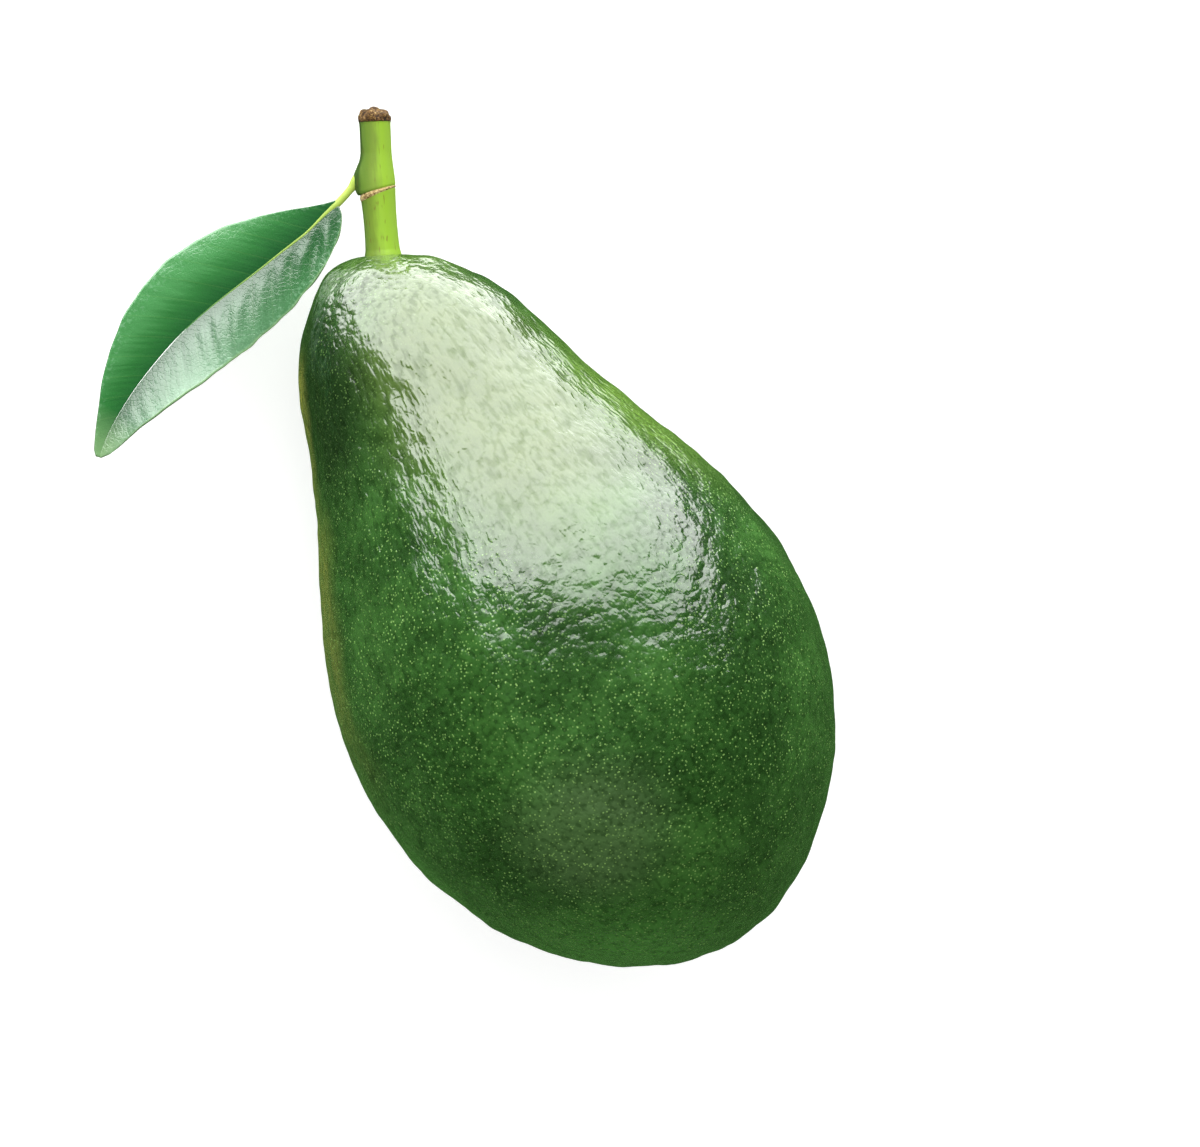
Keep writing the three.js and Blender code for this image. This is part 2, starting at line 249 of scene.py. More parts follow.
# Each patch: its colour, its middle and its reach in millimetres, and how well it covers.
PATCHES = (
    (NECK_GREEN, (9, 50, 22), (24, 54, 26), 0.85),
    # A yellower green on the right flank, partly painted light where it faces the soft box.
    (FLANK_GREEN_AND_LIGHT, (27, 34, 2), (14, 34, 22), 0.9),
    # Painted shade on the neck's left flank, beside the leaf.
    (NECK_PAINTED_SHADE, (-15, 58, 8), (14, 32, 20), 1.1),
    (OLIVE, (-9, -19, 33), (17, 16, 17), 0.42),
    # Painted rim light, a fresher green, at the blossom end and along the lower left rim.
    (RIM_LIGHT_GREEN, (-12, -36, 6), (24, 18, 26), 0.9),
    (RIM_LIGHT_GREEN, (-34, -15, 2), (9, 26, 17), 0.9),
    # The same yellower green with painted light, on the right of the neck's tip.
    (FLANK_GREEN_AND_LIGHT, (8, 70, 2), (20, 9, 12), 0.6),
)


def patch(tree, at, middle, reach):
    """1 in the middle of a place on the fruit, fading to 0 at its reach, all in millimetres."""
    near = add(tree, "VectorMath", {0: at, 1: middle}, operation="SUBTRACT")
    shrunk = add(tree, "VectorMath", {0: near, 1: [1 / r for r in reach]}, operation="MULTIPLY")
    far = add(tree, "VectorMath", {0: shrunk}, operation="LENGTH").outputs["Value"]
    return add(
        tree, "MapRange", {"Value": far, "From Min": 0.25, "To Min": 1.0, "To Max": 0.0}, **SOFT,
    )


def patched(tree, at, fine, ground):
    """The ground colour with its patches, whose edges break up along the fine mottle."""
    for hexed, middle, reach, cover in PATCHES:
        place = patch(tree, at, middle, reach)
        broken = add(tree, "Math", {0: fine, 1: 0.6}, operation="ADD")
        share = add(tree, "Math", {0: place, 1: broken}, operation="MULTIPLY")
        amount = add(tree, "Math", {0: share, 1: cover}, operation="MULTIPLY", use_clamp=True)
        tint = {"Factor": amount, UNDER: ground, OVER: colour(hexed)}
        ground = add(tree, "Mix", tint, **COLOURS).outputs[BLEND]
    return ground


# %% Painted rim light along the left rim
RIM_LIGHT_OLIVE = "#80843c"
RIM_LIGHT_YELLOW = "#aaa848"
RIM_SWAY = 0.6
# Angles up from the rim, in radians, between which the strip fades out above and below.
RIM_ABOVE = (0.42, 0.88)
RIM_BELOW = (-0.15, 0.32)
# Places along the axis, in millimetres, where it ends at the neck and at the belly and turns yellow.
RIM_TOP = (67, 60)
RIM_FOOT = (-8, 24)
RIM_YELLOWING = (26, 56)


def rim_light_strip(tree, at, sway):
    """1 along the fruit's left rim, fading to 0 beside it."""
    where = add(tree, "SeparateXYZ", {"Vector": at})
    left = add(tree, "Math", {0: where.outputs["X"], 1: -1}, operation="MULTIPLY")
    turn = add(tree, "Math", {0: where.outputs["Z"], 1: left}, operation="ARCTAN2")
    swayed = add(tree, "Math", {0: sway, 1: RIM_SWAY, 2: turn}, operation="MULTIPLY_ADD")
    high = {"Value": swayed, "From Min": RIM_ABOVE[0], "From Max": RIM_ABOVE[1], "To Min": 0.85, "To Max": 0}
    low = {"Value": swayed, "From Min": RIM_BELOW[0], "From Max": RIM_BELOW[1]}
    top = {"Value": where.outputs["Y"], "From Min": RIM_TOP[0], "From Max": RIM_TOP[1]}
    foot = {"Value": where.outputs["Y"], "From Min": RIM_FOOT[0], "From Max": RIM_FOOT[1]}
    above, below, up, down = (add(tree, "MapRange", fade, **SOFT) for fade in (high, low, top, foot))
    near = add(tree, "Math", {0: above, 1: below}, operation="MULTIPLY")
    within = add(tree, "Math", {0: up, 1: down}, operation="MULTIPLY")
    return add(tree, "Math", {0: near, 1: within}, operation="MULTIPLY")


def ground_colour(tree, at):
    """Broad and fine mottle pick the green. The patches and the painted rim light along the left rim lie
    over it.
    """
    broad = add(tree, "TexNoise", {"Vector": at, "Scale": 1 / BROAD_MOTTLE})
    fine = add(tree, "TexNoise", {"Vector": at, "Scale": 1 / FINE_MOTTLE, "Detail": 3, "Roughness": 0.6})
    both = add(tree, "Math", {0: fine, 1: 0.55, 2: broad}, operation="MULTIPLY_ADD")
    greens = add(tree, "ValToRGB", {"Fac": both})
    set_stops(greens.color_ramp, ((0.56, DEEP_GREEN), (0.77, MID_GREEN), (1.0, FRESH_GREEN)))
    ground = patched(tree, at, fine, greens)

    height = add(tree, "SeparateXYZ", {"Vector": at}).outputs["Y"]
    yellowing = {"Value": height, "From Min": RIM_YELLOWING[0], "From Max": RIM_YELLOWING[1]}
    yellow = add(tree, "MapRange", yellowing)
    rim_light_colours = {"Factor": yellow, UNDER: colour(RIM_LIGHT_OLIVE), OVER: colour(RIM_LIGHT_YELLOW)}
    rim = add(tree, "Mix", rim_light_colours, **COLOURS).outputs[BLEND]
    broken = add(tree, "Math", {0: fine, 1: 0.55}, operation="ADD")
    # Painted rim light along the left rim, olive by the belly and yellow by the neck, broken by the fine
    # mottle.
    rim_light = rim_light_strip(tree, at, broad)
    rim_light = add(tree, "Math", {0: rim_light, 1: broken}, operation="MULTIPLY", use_clamp=True)
    return add(tree, "Mix", {"Factor": rim_light, UNDER: ground, OVER: rim}, **COLOURS).outputs[BLEND]


# %% [markdown]
# ## Pores of the peel
# The peel breathes through pale dots (lenticels), a third of a millimetre wide and about half a
# millimetre apart. They stand in loose crowds and get rarer on the neck, and they fade under the
# highlight on its sunny side. Modelled dots would be millions of triangles, so they are the middles
# of Voronoi cells, and each cell's own random colour says how bright its dot is.

# %% Pores
SUNNY_PLACE = ((11, 37, 26), (22, 56, 26))
PORE_CELL = 0.55
PORE_RADIUS = 0.18
PORE_CROWD = 6


def out_of_the_sun(tree, at):
    """0 on the neck's sunny side, under the highlight, where pores fade and the painted shade of the hollows
    is faint, and 1 elsewhere.
    """
    sunny = patch(tree, at, *SUNNY_PLACE)
    return add(tree, "Math", {0: sunny, 1: -1.3, 2: 1.0}, operation="MULTIPLY_ADD", use_clamp=True)


def pores(tree, at, shade):
    """How much of a pore is at a point: 0 between pores, up to 1 in the middle of a bright one."""
    cells = add(tree, "TexVoronoi", {"Vector": at, "Scale": 1 / PORE_CELL})
    rim = PORE_RADIUS / PORE_CELL
    inside = {"Value": cells, "From Min": 0.45 * rim, "From Max": rim, "To Min": 1.0, "To Max": 0.0}
    dot = add(tree, "MapRange", inside, **SOFT)
    crowd = add(tree, "TexNoise", {"Vector": at, "Scale": 1 / PORE_CROWD})
    crowded = add(tree, "MapRange", {"Value": crowd, "From Min": 0.35, "From Max": 0.6, "To Min": 0.45})
    lot = add(tree, "SeparateColor", {"Color": cells.outputs["Color"]})
    bright = add(tree, "MapRange", {"Value": lot, "From Min": 0.05, "From Max": 0.75, "To Min": 0.25})
    height = add(tree, "SeparateXYZ", {"Vector": at}).outputs["Y"]
    neck = {"Value": height, "From Min": 25, "From Max": 50, "To Min": 1.0, "To Max": 0.35}
    rarer = add(tree, "Math", {0: bright, 1: add(tree, "MapRange", neck)}, operation="MULTIPLY")
    seen = add(tree, "Math", {0: rarer, 1: shade}, operation="MULTIPLY")
    chance = add(tree, "Math", {0: seen, 1: crowded}, operation="MULTIPLY")
    return add(tree, "Math", {0: dot, 1: chance}, operation="MULTIPLY")


# %% [markdown]
# ## Relief of the peel
# Four reliefs add up. Fine bumps under a millimetre wide and low pebbles cover the belly. On the
# neck the bumps are drawn out lengthwise into strands, because a growing avocado stretches there.
# Thin, short creases run between the pebbles. All of it is far too fine for the mesh, so it is a
# bump, in millimetres of height; the broader lumps below are real geometry. The hollows of the
# same bumps hold less wax, and they get a painted shade that darkens them, only faintly under the highlight.

# %% Strands of the neck
BEND = 0.3
BEND_SPACING = 3


def bent_place(tree, at):
    """The place, swayed a little every which way, so no row of bumps runs straight."""
    sway = add(tree, "TexNoise", {"Vector": at, "Scale": 1 / BEND_SPACING, "Detail": 1})
    shift = add(tree, "VectorMath", {0: sway.outputs["Color"], 1: (BEND,) * 3}, operation="MULTIPLY")
    return add(tree, "VectorMath", {0: at, 1: shift}, operation="ADD")


def stretched(tree, height):
    """1 where the skin is drawn out into strands: on the neck, and less so at the blossom end."""
    tip = {"Value": height, "From Min": 58, "From Max": 71, "To Min": 0.95, "To Max": 0.0}
    neck = {"Value": height, "From Min": 4, "From Max": 36, "To Min": 0.1}
    end = {"Value": height, "From Min": -14, "From Max": -36, "To Max": 0.7}
    below_tip, rising, at_end = (add(tree, "MapRange", fade, **SOFT) for fade in (tip, neck, end))
    on_neck = add(tree, "Math", {0: rising, 1: below_tip}, operation="MULTIPLY")
    return add(tree, "Math", {0: on_neck, 1: at_end}, operation="MAXIMUM")


# %% Grain, strands and pebbles
GRAIN = 0.9
GRAIN_HEIGHT = 0.1
STRAND_WIDTH = 0.8
STRAND_LENGTH = 5.5
STRAND_HEIGHT = 0.2
PEBBLE = 1.3
PEBBLE_HEIGHT = 0.03
# The square of a cell's distance is only about a quarter at its rim, so the height is taken 4
# times, and 5 times by the stalk, where the pebbles stand higher.
PEBBLE_DEPTHS = (-4 * PEBBLE_HEIGHT, -5 * PEBBLE_HEIGHT)


def grain_and_strands(tree, bent, necky):
    """Fine bumps, from 0 to 1, which turn to long strands on the neck, and their height."""
    grain = add(tree, "TexNoise", {"Vector": bent, "Scale": 1 / GRAIN, "Detail": 1, "Roughness": 0.45})
    across = 1 / STRAND_WIDTH
    drawn = add(tree, "Mapping", {"Vector": bent, "Scale": (across, 1 / STRAND_LENGTH, across)})
    strands = add(tree, "TexNoise", {"Vector": drawn, "Scale": 1.0, "Detail": 1})
    bumps = add(tree, "Mix", {"Factor": necky, 2: grain, 3: strands})
    size = add(tree, "Mix", {"Factor": necky, 2: GRAIN_HEIGHT, 3: STRAND_HEIGHT})
    return bumps, add(tree, "Math", {0: bumps, 1: size}, operation="MULTIPLY")


def with_pebbles(tree, bent, height, necky, bumps):
    """Low round pebbles under the bumps, which the neck's strands mostly hide."""
    low, high = PEBBLE_DEPTHS
    taller = {"Value": height, "From Min": 60, "From Max": 71, "To Min": low, "To Max": high}
    left_over = add(tree, "Math", {0: necky, 1: -0.85, 2: 1.0}, operation="MULTIPLY_ADD")
    raised = add(tree, "Math", {0: add(tree, "MapRange", taller), 1: left_over}, operation="MULTIPLY")
    cells = add(tree, "TexVoronoi", {"Vector": bent, "Scale": 1 / PEBBLE})
    round_cells = add(tree, "Math", {0: cells, 1: 2}, operation="POWER")
    return add(tree, "Math", {0: round_cells, 1: raised, 2: bumps}, operation="MULTIPLY_ADD")


# %% Creases
CREASE_CELL = 1.2
CREASE_LENGTH = 2.3
CREASE_WIDTH = 0.2
CREASE_DEPTH = 0.025
PORE_HEIGHT = 0.02


def creases(tree, at, bent):
    """-1 in the middle of a crease and 0 beside it. Only some cell borders open as creases."""
    across = 1 / CREASE_CELL
    long_cells = add(tree, "Mapping", {"Vector": bent, "Scale": (across, 1 / CREASE_LENGTH, across)})
    borders = add(tree, "TexVoronoi", {"Vector": long_cells, "Scale": 1.0}, feature="DISTANCE_TO_EDGE")
    slit = {"Value": borders, "From Max": CREASE_WIDTH / CREASE_CELL, "To Min": -1, "To Max": 0}
    crack = add(tree, "MapRange", slit, **SOFT)
    places = add(tree, "TexNoise", {"Vector": at, "Scale": 1 / CREASE_CELL, "Detail": 0})
    opened = add(tree, "MapRange", {"Value": places, "From Min": 0.5, "From Max": 0.65})
    return add(tree, "Math", {0: crack, 1: opened}, operation="MULTIPLY")


def relief(tree, at, pore):
    """Height in millimetres, how deep in a hollow a point is, and how thick its wax is."""
    bent = bent_place(tree, at)
    height = add(tree, "SeparateXYZ", {"Vector": at}).outputs["Y"]
    necky = stretched(tree, height)
    bumps, raised = grain_and_strands(tree, bent, necky)
    pebbled = with_pebbles(tree, bent, height, necky, raised)
    cut = creases(tree, at, bent)
    creased = add(tree, "Math", {0: cut, 1: CREASE_DEPTH, 2: pebbled}, operation="MULTIPLY_ADD")
    dotted = add(tree, "Math", {0: pore, 1: PORE_HEIGHT, 2: creased}, operation="MULTIPLY_ADD")
    low = {"Value": bumps, "From Min": 0.36, "From Max": 0.52, "To Min": 1.0, "To Max": 0.0}
    hollow = add(tree, "MapRange", low, **SOFT)
    thinned = add(tree, "Math", {0: hollow, 1: -0.45, 2: 1.0}, operation="MULTIPLY_ADD")
    wax = add(tree, "Math", {0: cut, 1: 0.35, 2: thinned}, operation="MULTIPLY_ADD", use_clamp=True)
    return dotted, hollow, wax


# %% [markdown]
# ## Wax of the peel
# An avocado's own wax gives two shines: a broad one from the skin and a tighter one from the wax
# on it, which is why the material is a rough green with a smoother coat. Handling has worn the
# wax thin in three places, and there the highlight turns dull.

# %% Material of the peel
PORE_GREEN = "#82a85c"
HOLLOW_PAINTED_SHADE = (0.3, 0.38, 0.3, 1)
WORN_PLACES = (((25, 32, 12), (13, 36, 18)), ((-13, 60, 7), (10, 20, 13)), ((2, 7, 34), (34, 13, 20)))
SKIN_ROUGHNESS, WAX_ROUGHNESS = 0.22, 0.16
SKIN_IOR, WAX_IOR = 1.6, 1.65


def worn_wax(tree, at, wax):
    """The wax, half as thick in the middle of each worn place."""
    for place in WORN_PLACES:
        left = add(tree, "Math", {0: patch(tree, at, *place), 1: -0.5, 2: 1.0}, operation="MULTIPLY_ADD")
        wax = add(tree, "Math", {0: wax, 1: left}, operation="MULTIPLY")
    return wax


def peel_material():
    """Waxed peel: the eye sees a deep, mottled green through a glossy, finely wrinkled coat."""
    material, tree = new_material("waxed avocado peel")
    at = fruit_place(tree)
    shade = out_of_the_sun(tree, at)
    pore = pores(tree, at, shade)
    height, hollow, wax = relief(tree, at, pore)
    # Painted shade: the hollows are darkened, only faintly under the highlight.
    darkening = add(tree, "MapRange", {"Value": shade, "To Min": 0.1, "To Max": 0.6})
    painted_shade = add(tree, "Math", {0: hollow, 1: darkening}, operation="MULTIPLY")
    shaded = {"Factor": painted_shade, UNDER: ground_colour(tree, at), OVER: HOLLOW_PAINTED_SHADE}
    ground = add(tree, "Mix", shaded, blend_type="MULTIPLY", **COLOURS).outputs[BLEND]
    dots = {"Factor": pore, UNDER: ground, OVER: colour(PORE_GREEN)}
    dotted = add(tree, "Mix", dots, **COLOURS).outputs[BLEND]
    bump = add(tree, "Bump", {"Height": height, "Distance": MM})
    shader = add(
        tree, "BsdfPrincipled",
        {"Base Color": dotted, "Roughness": SKIN_ROUGHNESS, "IOR": SKIN_IOR, "Normal": bump,
         "Coat Weight": worn_wax(tree, at, wax), "Coat Roughness": WAX_ROUGHNESS, "Coat IOR": WAX_IOR,
         "Coat Normal": bump},
    )
    add(tree, "OutputMaterial", {"Surface": shader})
    return material


# %% [markdown]
# ## The fruit
# A pear shape is a turned form: half of its outline, spun round its axis. A sculpted or a
# subdivided ball could be pulled to it, but the spin follows the measured outline exactly and
# gives even rows along the fruit and rings round it, finely enough to carry real lumps. The lumps
# are a sum of waves that run every which way, as in the model's own solid, with a second, finer
# set for the uneven ground under the pebbles.

# %% Lumps of the skin
LUMP_SPACING = 7.5
LUMP_HEIGHT = 0.1
LUMP_STRETCH = 1.6
LUMP_WAVES = 14
FINE_LUMPS = (3.1, 0.035, 1.3, 26)
GOLDEN_ANGLE = math.pi * (3 - math.sqrt(5))
SEAT = Vector((3.87, 72.2, 0.0))
FLAT_CALM = 13.0


def lumps(points, spacing, height, stretch, waves):
    """Waves spread by the golden angle: the height at each point."""
    total = np.zeros(len(points))
    for i in range(waves):
        turn = i * GOLDEN_ANGLE
        across = 1 - (2 * i + 1) / waves
        out = math.sqrt(1 - across * across)
        phase = math.cos(turn) * out * points[:, 0] + math.sin(turn) * out * points[:, 2]
        phase = phase + across * points[:, 1] / stretch
        total += np.sin(2 * math.pi * phase / spacing + i * i)
    return height * total / math.sqrt(waves / 2)


def bell(x, middle, width):
    """A bump of height 1 at a middle, about as wide as given."""
    return np.exp(-(((x - middle) / width) ** 2))


def uneven(points):
    """The fruit isn't quite round about its axis: it sways, and the neck's tip is slanted."""
    along = BELLY_ALONG - points[:, 1]
    points[:, 0] += NECK_SWAY * bell(along, 21, 10) + BELLY_SWAY * bell(along, 60, 14)
    points[:, 0] += END_SWAY * smooth(along, 110, 120)
    points[:, 1] -= NECK_SLANT * points[:, 0] * np.exp(-along / 3)


# %% Spin the fruit
FRUIT_ROWS = 256
FRUIT_RINGS = 384

peel = peel_material()
rows = [(out, BELLY_ALONG - along) for out, along in fruit_outline(FRUIT_ROWS)]
rows[0] = (0, rows[0][1])
rows[-1] = (0, rows[-1][1])
bm = turned(rows, FRUIT_RINGS)
fruit_mesh = bpy.data.meshes.new("fruit_skin")
bm.to_mesh(fruit_mesh)
bm.free()

points = coordinates(fruit_mesh)
uneven(points)
set_coordinates(fruit_mesh, points)
normals = np.array([v.vector for v in fruit_mesh.vertex_normals])
from_flat = np.linalg.norm(points - np.array(lowest), axis=1)
from_seat = np.linalg.norm(points - np.array(SEAT), axis=1)
calm = smooth(from_flat, FLAT_CALM / 2, FLAT_CALM) * smooth(from_seat, 4, 9)
height = calm * lumps(points, LUMP_SPACING, LUMP_HEIGHT, LUMP_STRETCH, LUMP_WAVES)
height += calm * lumps(points, *FINE_LUMPS)
points = placed(points + normals * height[:, None], lay)
points[:, 2] = np.maximum(points[:, 2], 0)
set_coordinates(fruit_mesh, points)
new_piece("fruit_skin", fruit_mesh, peel, "fruit")
print("lumps from", round(height.min(), 2), "to", round(height.max(), 2), "mm")

# %% [markdown]
# ## Stalk: fleshy green shoot with cork
# A young stalk is smooth, waxy and faintly ribbed. Light and shade are painted round it: a
# yellower painted light on the right side, turning to painted shade and a darker edge on the left.
# Where it was cut, and round the joint, dry brown cork has grown. Green and cork could be two
# materials on two sets of faces, but real cork creeps over the green with a ragged edge, so one
# material mixes them. The colour follows the surface, so each vertex keeps two values for the
# shader: how far round it is, for the painted light and shade, and how corky.

# %% Green of the stalk
STALK_PAINTED_LIGHT = "#87ab32"
STALK_GREEN = "#6f8830"
STALK_SHADED_EDGE = "#5c7a2c"
STALK_PAINTED_SHADE = "#38521c"
SPOT_BROWN = "#6a5526"
STALK_LEAN = math.radians(-23.8)
# Painted light and shade, from the lit right side round to the shaded left one.
STALK_STOPS = (
    (0.3, STALK_PAINTED_LIGHT), (0.52, STALK_PAINTED_LIGHT), (0.66, STALK_GREEN), (0.88, STALK_SHADED_EDGE), (0.97, STALK_PAINTED_SHADE),
)


def stalk_green(tree, at):
    """Painted light and shade round the stalk, yellower on the lit side, with a border that wavers along the
    fibres, and long brown flecks.
    """
    turn = add(tree, "Attribute", attribute_name="turn").outputs["Fac"]
    drawn = {"Vector": at, "Scale": (1.0, 7.0, 1.0), "Rotation": (0, 0, STALK_LEAN)}
    streaks = add(tree, "Mapping", drawn, vector_type="TEXTURE")
    fibres = add(tree, "TexNoise", {"Vector": streaks, "Scale": 1.6, "Detail": 3})
    shifted = add(tree, "Math", {0: fibres, 1: 0.25, 2: turn}, operation="MULTIPLY_ADD")
    greens = add(tree, "ValToRGB", {"Fac": shifted})
    set_stops(greens.color_ramp, STALK_STOPS)
    spots = add(tree, "TexNoise", {"Vector": streaks, "Scale": 3.2, "Detail": 1})
    spotted = add(tree, "MapRange", {"Value": spots, "From Min": 0.67, "From Max": 0.73, "To Max": 0.55})
    flecks = {"Factor": spotted, UNDER: greens, OVER: colour(SPOT_BROWN)}
    return add(tree, "Mix", flecks, **COLOURS).outputs[BLEND]


# %% Cork of the stalk
CORK_DARK = "#241608"
CORK_BROWN = "#6c4c22"
CORK_PALE = "#c6b07a"


def dry_cork(tree, at):
    """The cork's colour, flecked at half a millimetre, where it covers the green, and its flecks."""
    cork = add(tree, "Attribute", attribute_name="cork").outputs["Fac"]
    flecks = add(tree, "TexNoise", {"Vector": at, "Scale": 2.2, "Detail": 4, "Roughness": 0.7})
    dryness = add(tree, "Math", {0: cork, 1: 0.25, 2: flecks}, operation="MULTIPLY_ADD")
    browns = add(tree, "ValToRGB", {"Fac": dryness})
    set_stops(browns.color_ramp, ((0.62, CORK_DARK), (0.78, CORK_BROWN), (0.95, CORK_PALE)))
    ragged = add(tree, "Math", {0: flecks, 1: 0.5, 2: cork}, operation="MULTIPLY_ADD")
    corky = add(tree, "MapRange", {"Value": ragged, "From Min": 0.68, "From Max": 0.8})
    return browns, corky, flecks


# %% Material of the stalk
def stalk_material():
    """Fleshy stalk with dry cork: the eye sees a soft, moist shine that ends at dull, rough cork."""
    material, tree = new_material("green stalk with dry cork")
    at = fruit_place(tree)
    browns, corky, flecks = dry_cork(tree, at)
    skins = {"Factor": corky, UNDER: stalk_green(tree, at), OVER: browns}
    skin = add(tree, "Mix", skins, **COLOURS).outputs[BLEND]
    rough = add(tree, "MapRange", {"Value": corky, "To Min": 0.36, "To Max": 0.85})
    grain = add(tree, "Math", {0: corky, 1: 0.25, 2: 0.02}, operation="MULTIPLY_ADD")
    height = add(tree, "Math", {0: flecks, 1: grain}, operation="MULTIPLY")
    bump = add(tree, "Bump", {"Height": height, "Distance": MM})
    shader = add(
        tree, "BsdfPrincipled",
        {"Base Color": skin, "Roughness": rough, "IOR": 1.45, "Normal": bump,
         "Subsurface Weight": 0.15, "Subsurface Radius": (1.0, 1.4, 0.4), "Subsurface Scale": MM},
    )
    add(tree, "OutputMaterial", {"Surface": shader})
    return material


# %% [markdown]
# ## The stalk
# The stalk is a fleshy rod in two pieces. Each could be swept along a curve, but both are short
# and straight, so each is turned, then ribbed a little, bent and put in its place. The lower one
# flares into the fruit. The upper one swells where the leaf stalk leaves it and ends in a torn
# dome of cork. A slanted ring of cork closes the joint between them.

# %% Driving dimensions of the stalk
GAP = 0.3
JOINT_GAP = 0.42
STALK_LIFT = math.radians(5)
LOWER_LENGTH = 10.2
LOWER_RADIUS = 2.54
UPPER_LENGTH = 12.9
UPPER_RADIUS = 2.38
UPPER_LEAN = math.radians(-2.2)
JOINT_RADIUS = 2.72
JOINT_SLOPE = 0.22

stalk_place = (
    Matrix.Translation(SEAT) @ Matrix.Rotation(STALK_LIFT, 4, "X") @ Matrix.Rotation(STALK_LEAN, 4, "Z")
)
upper_place = (
    stalk_place @ Matrix.Translation((0, LOWER_LENGTH + JOINT_GAP, 0)) @ Matrix.Rotation(UPPER_LEAN, 4, "Z")
)

# %% Shape of the stalk pieces
STALK_ROWS = 120
STALK_SIDES = 72


def even_profile(rings, count):
    """A profile from ring to ring, closed on the axis, with evenly spaced points."""
    outline = np.array([(0, rings[0][1]), *rings, (0, rings[-1][1])])
    along = np.concatenate([[0], np.cumsum(np.linalg.norm(np.diff(outline, axis=0), axis=1))])
    even = np.linspace(0, along[-1], count)
    return list(zip(np.interp(even, along, outline[:, 0]), np.interp(even, along, outline[:, 1])))


def keep_value(mesh, name, values):
    """Keeps one number for each vertex, for the shader to read."""
    mesh.attributes.new(name, "FLOAT", "POINT").data.foreach_set("value", np.asarray(values, float))


def fluted(points):
    """Faint ribs round a stalk. Returns how far round each point is, in radians."""
    turn = np.arctan2(points[:, 2], points[:, 0])
    share = 1 + 0.012 * np.cos(5 * turn) + 0.008 * np.cos(3 * turn + 1)
    points[:, 0] *= share
    points[:, 2] *= share
    return turn


def stalk_piece(name, rings, bend, place, replaced=None, shade=1.0):
    """Turns a stalk piece from its rings, bends it and puts it in its place."""
    bm = turned(even_profile(rings, STALK_ROWS), STALK_SIDES)
    mesh = bpy.data.meshes.new(name)
    bm.to_mesh(mesh)
    bm.free()
    points = coordinates(mesh)
    turn = fluted(points)
    cork = bend(points, turn)
    # How far round each point is, which the shader paints from light to shade; shade scales it.
    keep_value(mesh, "turn", shade * np.abs(turn) / math.pi)
    keep_value(mesh, "cork", cork)
    set_coordinates(mesh, placed(points, lay @ place))
    new_piece(name, mesh, stalk_skin, replaced)


# %% Bends of the stalk pieces
def bend_lower(points, turn):
    """Slants the top to the joint. Returns how corky each point is: a stain below the ring."""
    length = LOWER_LENGTH - GAP
    left = np.maximum(0, -np.cos(turn))
    up = points[:, 1].copy()
    points[:, 1] += JOINT_SLOPE * points[:, 0] * smooth(up, length / 2, length)
    points[:, 1] += GAP
    return left**6 * smooth(up, length - 4.5, length - 1) * 0.55


def bend_upper(points, turn):
    """Swells the foot on its left, where the leaf stalk leaves it, and tears the dry top."""
    out = np.hypot(points[:, 0], points[:, 2]) / UPPER_RADIUS
    left = np.maximum(0, -np.cos(turn))
    up = points[:, 1].copy()
    high = out * smooth(up, UPPER_LENGTH - 2.4, UPPER_LENGTH - 1.2)
    low = out * (1 - smooth(up, 1, 5))
    points[:, 0] -= 0.28 * low * left + 0.85 * out * left**4 * bell(up, 2.5, 1.8)
    points[:, 1] += high * (0.16 * np.sin(4 * turn) + 0.12 * np.sin(7 * turn + 2))
    torn = smooth(up, UPPER_LENGTH - 2.6, UPPER_LENGTH - 1.8) * lumps(points, 1.5, 0.13, 1, 16)
    points[:, 1] += torn
    points[:, 0] *= 1 + 0.3 * torn
    points[:, 1] += JOINT_SLOPE * points[:, 0] * (1 - smooth(points[:, 1], 0, UPPER_LENGTH / 2))
    return 0.85 * smooth(up, UPPER_LENGTH - 2.9, UPPER_LENGTH - 2.3)


def bend_ring(points, turn):
    """Makes the cork ring thicker on its left and slants it as the joint is."""
    left = (1 - np.cos(turn)) / 2
    points[:, 1] *= 0.35 + 1.0 * left
    points[:, 1] += JOINT_SLOPE * points[:, 0] - 0.3 * left
    return np.full(len(points), 1.55)


# %% Turn the stalk pieces
stalk_skin = stalk_material()
foot = 2.7
lower_top = LOWER_LENGTH - GAP
lower_rings = [
    (foot + 0.15, -0.4), (foot + 0.15, 0.3), (foot - 0.03, 1.1), (LOWER_RADIUS + 0.04, 2.4),
    (LOWER_RADIUS, 4.6), (LOWER_RADIUS + 0.03, 7), (JOINT_RADIUS - 0.06, lower_top - 1),
    (JOINT_RADIUS, lower_top - 0.2), (JOINT_RADIUS - 0.1, lower_top + 0.1),
]
upper_rings = [
    (JOINT_RADIUS - 0.1, -0.1), (JOINT_RADIUS + 0.04, 0.3), (JOINT_RADIUS - 0.02, 1.3),
    (UPPER_RADIUS + 0.16, 3.2), (UPPER_RADIUS, 5.6), (UPPER_RADIUS, 8.5),
    (UPPER_RADIUS + 0.02, UPPER_LENGTH - 2.8), (UPPER_RADIUS + 0.12, UPPER_LENGTH - 2.3),
    (UPPER_RADIUS + 0.1, UPPER_LENGTH - 1.7), (UPPER_RADIUS - 0.25, UPPER_LENGTH - 1.2),
    (UPPER_RADIUS - 0.9, UPPER_LENGTH - 0.85), (UPPER_RADIUS - 1.8, UPPER_LENGTH - 0.4),
]
ring_rings = [(2.4, -0.5), (2.7, -0.42), (2.86, 0), (2.7, 0.42), (2.4, 0.5)]
stalk_piece("lower_stalk", lower_rings, bend_lower, stalk_place, "pedicel", 0.85)
stalk_piece("upper_stalk", upper_rings, bend_upper, upper_place, "peduncle")
ring_place = stalk_place @ Matrix.Translation((0, LOWER_LENGTH + JOINT_GAP / 2, 0))
